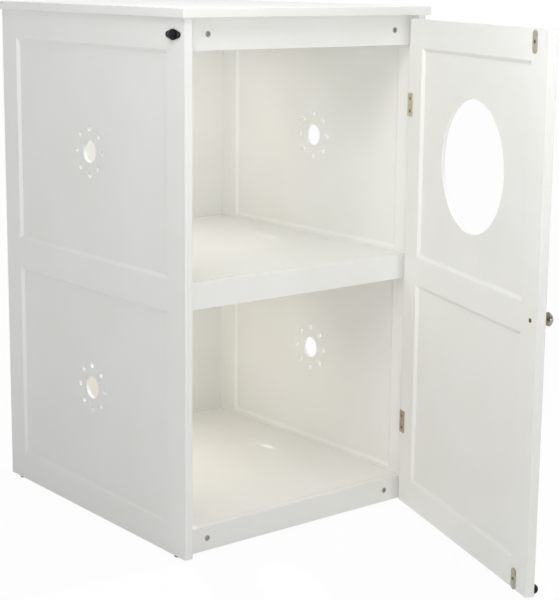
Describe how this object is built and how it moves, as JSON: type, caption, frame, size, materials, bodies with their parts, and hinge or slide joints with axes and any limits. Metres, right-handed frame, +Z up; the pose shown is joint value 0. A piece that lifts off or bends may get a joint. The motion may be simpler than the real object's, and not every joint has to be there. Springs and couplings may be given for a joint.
{
  "type": "cat litter box cabinet",
  "caption": "Free-standing framed cabinet that hides a cat litter box: hinged front door with a round cat hole, a middle shelf, vented sides and a flat overhanging top.",
  "frame": {"origin": "middle of the base of the bounding box at rest, with the door standing open; z = 0 is the underside of the foot glides", "axes": "+X across the front, from the free side to the hinge side; +Y from the front to the back; +Z up"},
  "size_m": [0.532, 1.037, 0.904],
  "materials": {
    "painted_board": "satin white paint on smooth board",
    "painted_back_board": "smooth white faced thin board",
    "hinge_nickel": "satin nickel plate",
    "strike_steel": "plated sheet steel",
    "knob_metal": "bright plated",
    "screw_steel": "zinc plated",
    "magnet": "nickel plated magnet",
    "catch_plastic": "dark grey moulded plastic",
    "black_plastic": "black moulded plastic",
    "cast_zinc": "die cast zinc",
    "beech_dowel": "fluted beech",
    "foot_plastic": "dark grey moulded plastic"
  },
  "bodies": {
    "cabinet": {"left_front_stile": "painted_board", "left_rear_stile": "painted_board", "left_top_rail": "painted_board", "left_middle_rail": "painted_board", "left_bottom_rail": "painted_board", "left_upper_panel": "painted_board", "left_lower_panel": "painted_board", "right_front_stile": "painted_board", "right_rear_stile": "painted_board", "right_top_rail": "painted_board", "right_middle_rail": "painted_board", "right_bottom_rail": "painted_board", "right_upper_panel": "painted_board", "right_lower_panel": "painted_board", "front_top_rail": "painted_board", "front_middle_rail": "painted_board", "front_bottom_rail": "painted_board", "rear_top_rail": "painted_board", "middle_shelf": "painted_board", "bottom_floor": "painted_board", "back_panel": "painted_back_board", "top_board": "painted_board", "cam_bolts": "screw_steel", "cam_locks": "cast_zinc", "dowels": "beech_dowel", "back_screws": "screw_steel", "foot_glides": "foot_plastic", "catch_sleeves": "catch_plastic", "catch_magnets": "magnet", "side_buffer": "black_plastic", "side_buffer_screws": "screw_steel", "upper_hinge_side_leaf": "hinge_nickel", "upper_hinge_pin": "hinge_nickel", "lower_hinge_side_leaf": "hinge_nickel", "lower_hinge_pin": "hinge_nickel", "hinge_side_screws": "screw_steel"},
    "door": {"door_free_stile": "painted_board", "door_hinge_stile": "painted_board", "door_top_rail": "painted_board", "door_middle_rail": "painted_board", "door_bottom_rail": "painted_board", "door_upper_panel": "painted_board", "door_lower_panel": "painted_board", "upper_strike_plate": "strike_steel", "lower_strike_plate": "strike_steel", "strike_screws": "screw_steel", "knob": "knob_metal", "knob_screw": "screw_steel", "door_buffer": "black_plastic", "upper_hinge_door_leaf": "hinge_nickel", "lower_hinge_door_leaf": "hinge_nickel", "hinge_door_screws": "screw_steel"}
  },
  "joints": [
    {"name": "door_hinge", "type": "hinge", "parent": "cabinet", "child": "door", "pos_m": [0.2425, -0.06354, 0.447], "axis": [0, 0, 1], "range_deg": [-71, 104]}
  ]
}
